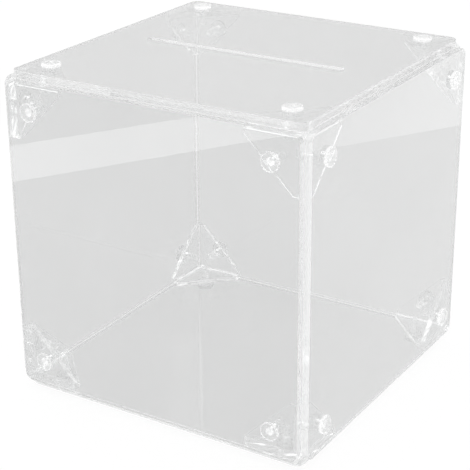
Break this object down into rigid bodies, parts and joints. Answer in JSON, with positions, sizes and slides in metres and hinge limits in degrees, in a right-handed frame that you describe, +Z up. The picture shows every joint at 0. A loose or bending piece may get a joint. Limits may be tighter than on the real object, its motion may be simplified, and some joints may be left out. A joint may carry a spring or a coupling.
{
  "type": "acrylic money box",
  "caption": "Clear cube-shaped money box of flat acrylic panels held by moulded corner brackets and clear thumbscrews, with a long slot in the lid panel.",
  "frame": {"origin": "on the table under the middle of the box, level with the undersides of the bottom screws' heads", "axes": "+Z up; the slot runs along X; front is -Y and right is +X"},
  "size_m": [0.2732, 0.2732, 0.2732],
  "materials": {
    "acrylic_panel": "clear cast acrylic sheet, polished edges",
    "corner_bracket": "clear moulded plastic",
    "thumbscrew": "clear moulded plastic, ribbed rim"
  },
  "bodies": {
    "box": {"left_panel": "acrylic_panel", "right_panel": "acrylic_panel", "front_panel": "acrylic_panel", "back_panel": "acrylic_panel", "bottom_panel": "acrylic_panel", "bottom_front_left_bracket": "corner_bracket", "top_front_left_bracket": "corner_bracket", "bottom_back_left_bracket": "corner_bracket", "top_back_left_bracket": "corner_bracket", "bottom_front_right_bracket": "corner_bracket", "top_front_right_bracket": "corner_bracket", "bottom_back_right_bracket": "corner_bracket", "top_back_right_bracket": "corner_bracket", "bottom_screw_front_left": "thumbscrew", "bottom_screw_back_left": "thumbscrew", "bottom_screw_front_right": "thumbscrew", "bottom_screw_back_right": "thumbscrew"},
    "lid": {"top_panel": "acrylic_panel"},
    "top_screw_back_left": {"top_screw_back_left": "thumbscrew"},
    "top_screw_back_right": {"top_screw_back_right": "thumbscrew"},
    "top_screw_front_left": {"top_screw_front_left": "thumbscrew"},
    "top_screw_front_right": {"top_screw_front_right": "thumbscrew"},
    "back_screw_bottom_left": {"back_screw_bottom_left": "thumbscrew"},
    "back_screw_bottom_right": {"back_screw_bottom_right": "thumbscrew"},
    "back_screw_top_left": {"back_screw_top_left": "thumbscrew"},
    "back_screw_top_right": {"back_screw_top_right": "thumbscrew"},
    "front_screw_bottom_left": {"front_screw_bottom_left": "thumbscrew"},
    "front_screw_bottom_right": {"front_screw_bottom_right": "thumbscrew"},
    "front_screw_top_left": {"front_screw_top_left": "thumbscrew"},
    "front_screw_top_right": {"front_screw_top_right": "thumbscrew"},
    "left_screw_bottom_back": {"left_screw_bottom_back": "thumbscrew"},
    "left_screw_bottom_front": {"left_screw_bottom_front": "thumbscrew"},
    "left_screw_top_back": {"left_screw_top_back": "thumbscrew"},
    "left_screw_top_front": {"left_screw_top_front": "thumbscrew"},
    "right_screw_bottom_back": {"right_screw_bottom_back": "thumbscrew"},
    "right_screw_bottom_front": {"right_screw_bottom_front": "thumbscrew"},
    "right_screw_top_back": {"right_screw_top_back": "thumbscrew"},
    "right_screw_top_front": {"right_screw_top_front": "thumbscrew"}
  },
  "joints": [
    {"name": "lid_lift", "type": "slide", "parent": "box", "child": "lid", "axis": [0, 0, 1], "range_m": [0, 0.1]},
    {"name": "top_screw_back_left_travel", "type": "slide", "parent": "lid", "child": "top_screw_back_left", "axis": [0, 0, 1], "range_m": [0, 0.025]},
    {"name": "top_screw_back_right_travel", "type": "slide", "parent": "lid", "child": "top_screw_back_right", "axis": [0, 0, 1], "range_m": [0, 0.025]},
    {"name": "top_screw_front_left_travel", "type": "slide", "parent": "lid", "child": "top_screw_front_left", "axis": [0, 0, 1], "range_m": [0, 0.025]},
    {"name": "top_screw_front_right_travel", "type": "slide", "parent": "lid", "child": "top_screw_front_right", "axis": [0, 0, 1], "range_m": [0, 0.025]},
    {"name": "back_screw_bottom_left_travel", "type": "slide", "parent": "box", "child": "back_screw_bottom_left", "axis": [0, 1, 0], "range_m": [0, 0.025]},
    {"name": "back_screw_bottom_right_travel", "type": "slide", "parent": "box", "child": "back_screw_bottom_right", "axis": [0, 1, 0], "range_m": [0, 0.025]},
    {"name": "back_screw_top_left_travel", "type": "slide", "parent": "box", "child": "back_screw_top_left", "axis": [0, 1, 0], "range_m": [0, 0.025]},
    {"name": "back_screw_top_right_travel", "type": "slide", "parent": "box", "child": "back_screw_top_right", "axis": [0, 1, 0], "range_m": [0, 0.025]},
    {"name": "front_screw_bottom_left_travel", "type": "slide", "parent": "box", "child": "front_screw_bottom_left", "axis": [0, -1, 0], "range_m": [0, 0.025]},
    {"name": "front_screw_bottom_right_travel", "type": "slide", "parent": "box", "child": "front_screw_bottom_right", "axis": [0, -1, 0], "range_m": [0, 0.025]},
    {"name": "front_screw_top_left_travel", "type": "slide", "parent": "box", "child": "front_screw_top_left", "axis": [0, -1, 0], "range_m": [0, 0.025]},
    {"name": "front_screw_top_right_travel", "type": "slide", "parent": "box", "child": "front_screw_top_right", "axis": [0, -1, 0], "range_m": [0, 0.025]},
    {"name": "left_screw_bottom_back_travel", "type": "slide", "parent": "box", "child": "left_screw_bottom_back", "axis": [-1, 0, 0], "range_m": [0, 0.025]},
    {"name": "left_screw_bottom_front_travel", "type": "slide", "parent": "box", "child": "left_screw_bottom_front", "axis": [-1, 0, 0], "range_m": [0, 0.025]},
    {"name": "left_screw_top_back_travel", "type": "slide", "parent": "box", "child": "left_screw_top_back", "axis": [-1, 0, 0], "range_m": [0, 0.025]},
    {"name": "left_screw_top_front_travel", "type": "slide", "parent": "box", "child": "left_screw_top_front", "axis": [-1, 0, 0], "range_m": [0, 0.025]},
    {"name": "right_screw_bottom_back_travel", "type": "slide", "parent": "box", "child": "right_screw_bottom_back", "axis": [1, 0, 0], "range_m": [0, 0.025]},
    {"name": "right_screw_bottom_front_travel", "type": "slide", "parent": "box", "child": "right_screw_bottom_front", "axis": [1, 0, 0], "range_m": [0, 0.025]},
    {"name": "right_screw_top_back_travel", "type": "slide", "parent": "box", "child": "right_screw_top_back", "axis": [1, 0, 0], "range_m": [0, 0.025]},
    {"name": "right_screw_top_front_travel", "type": "slide", "parent": "box", "child": "right_screw_top_front", "axis": [1, 0, 0], "range_m": [0, 0.025]}
  ]
}
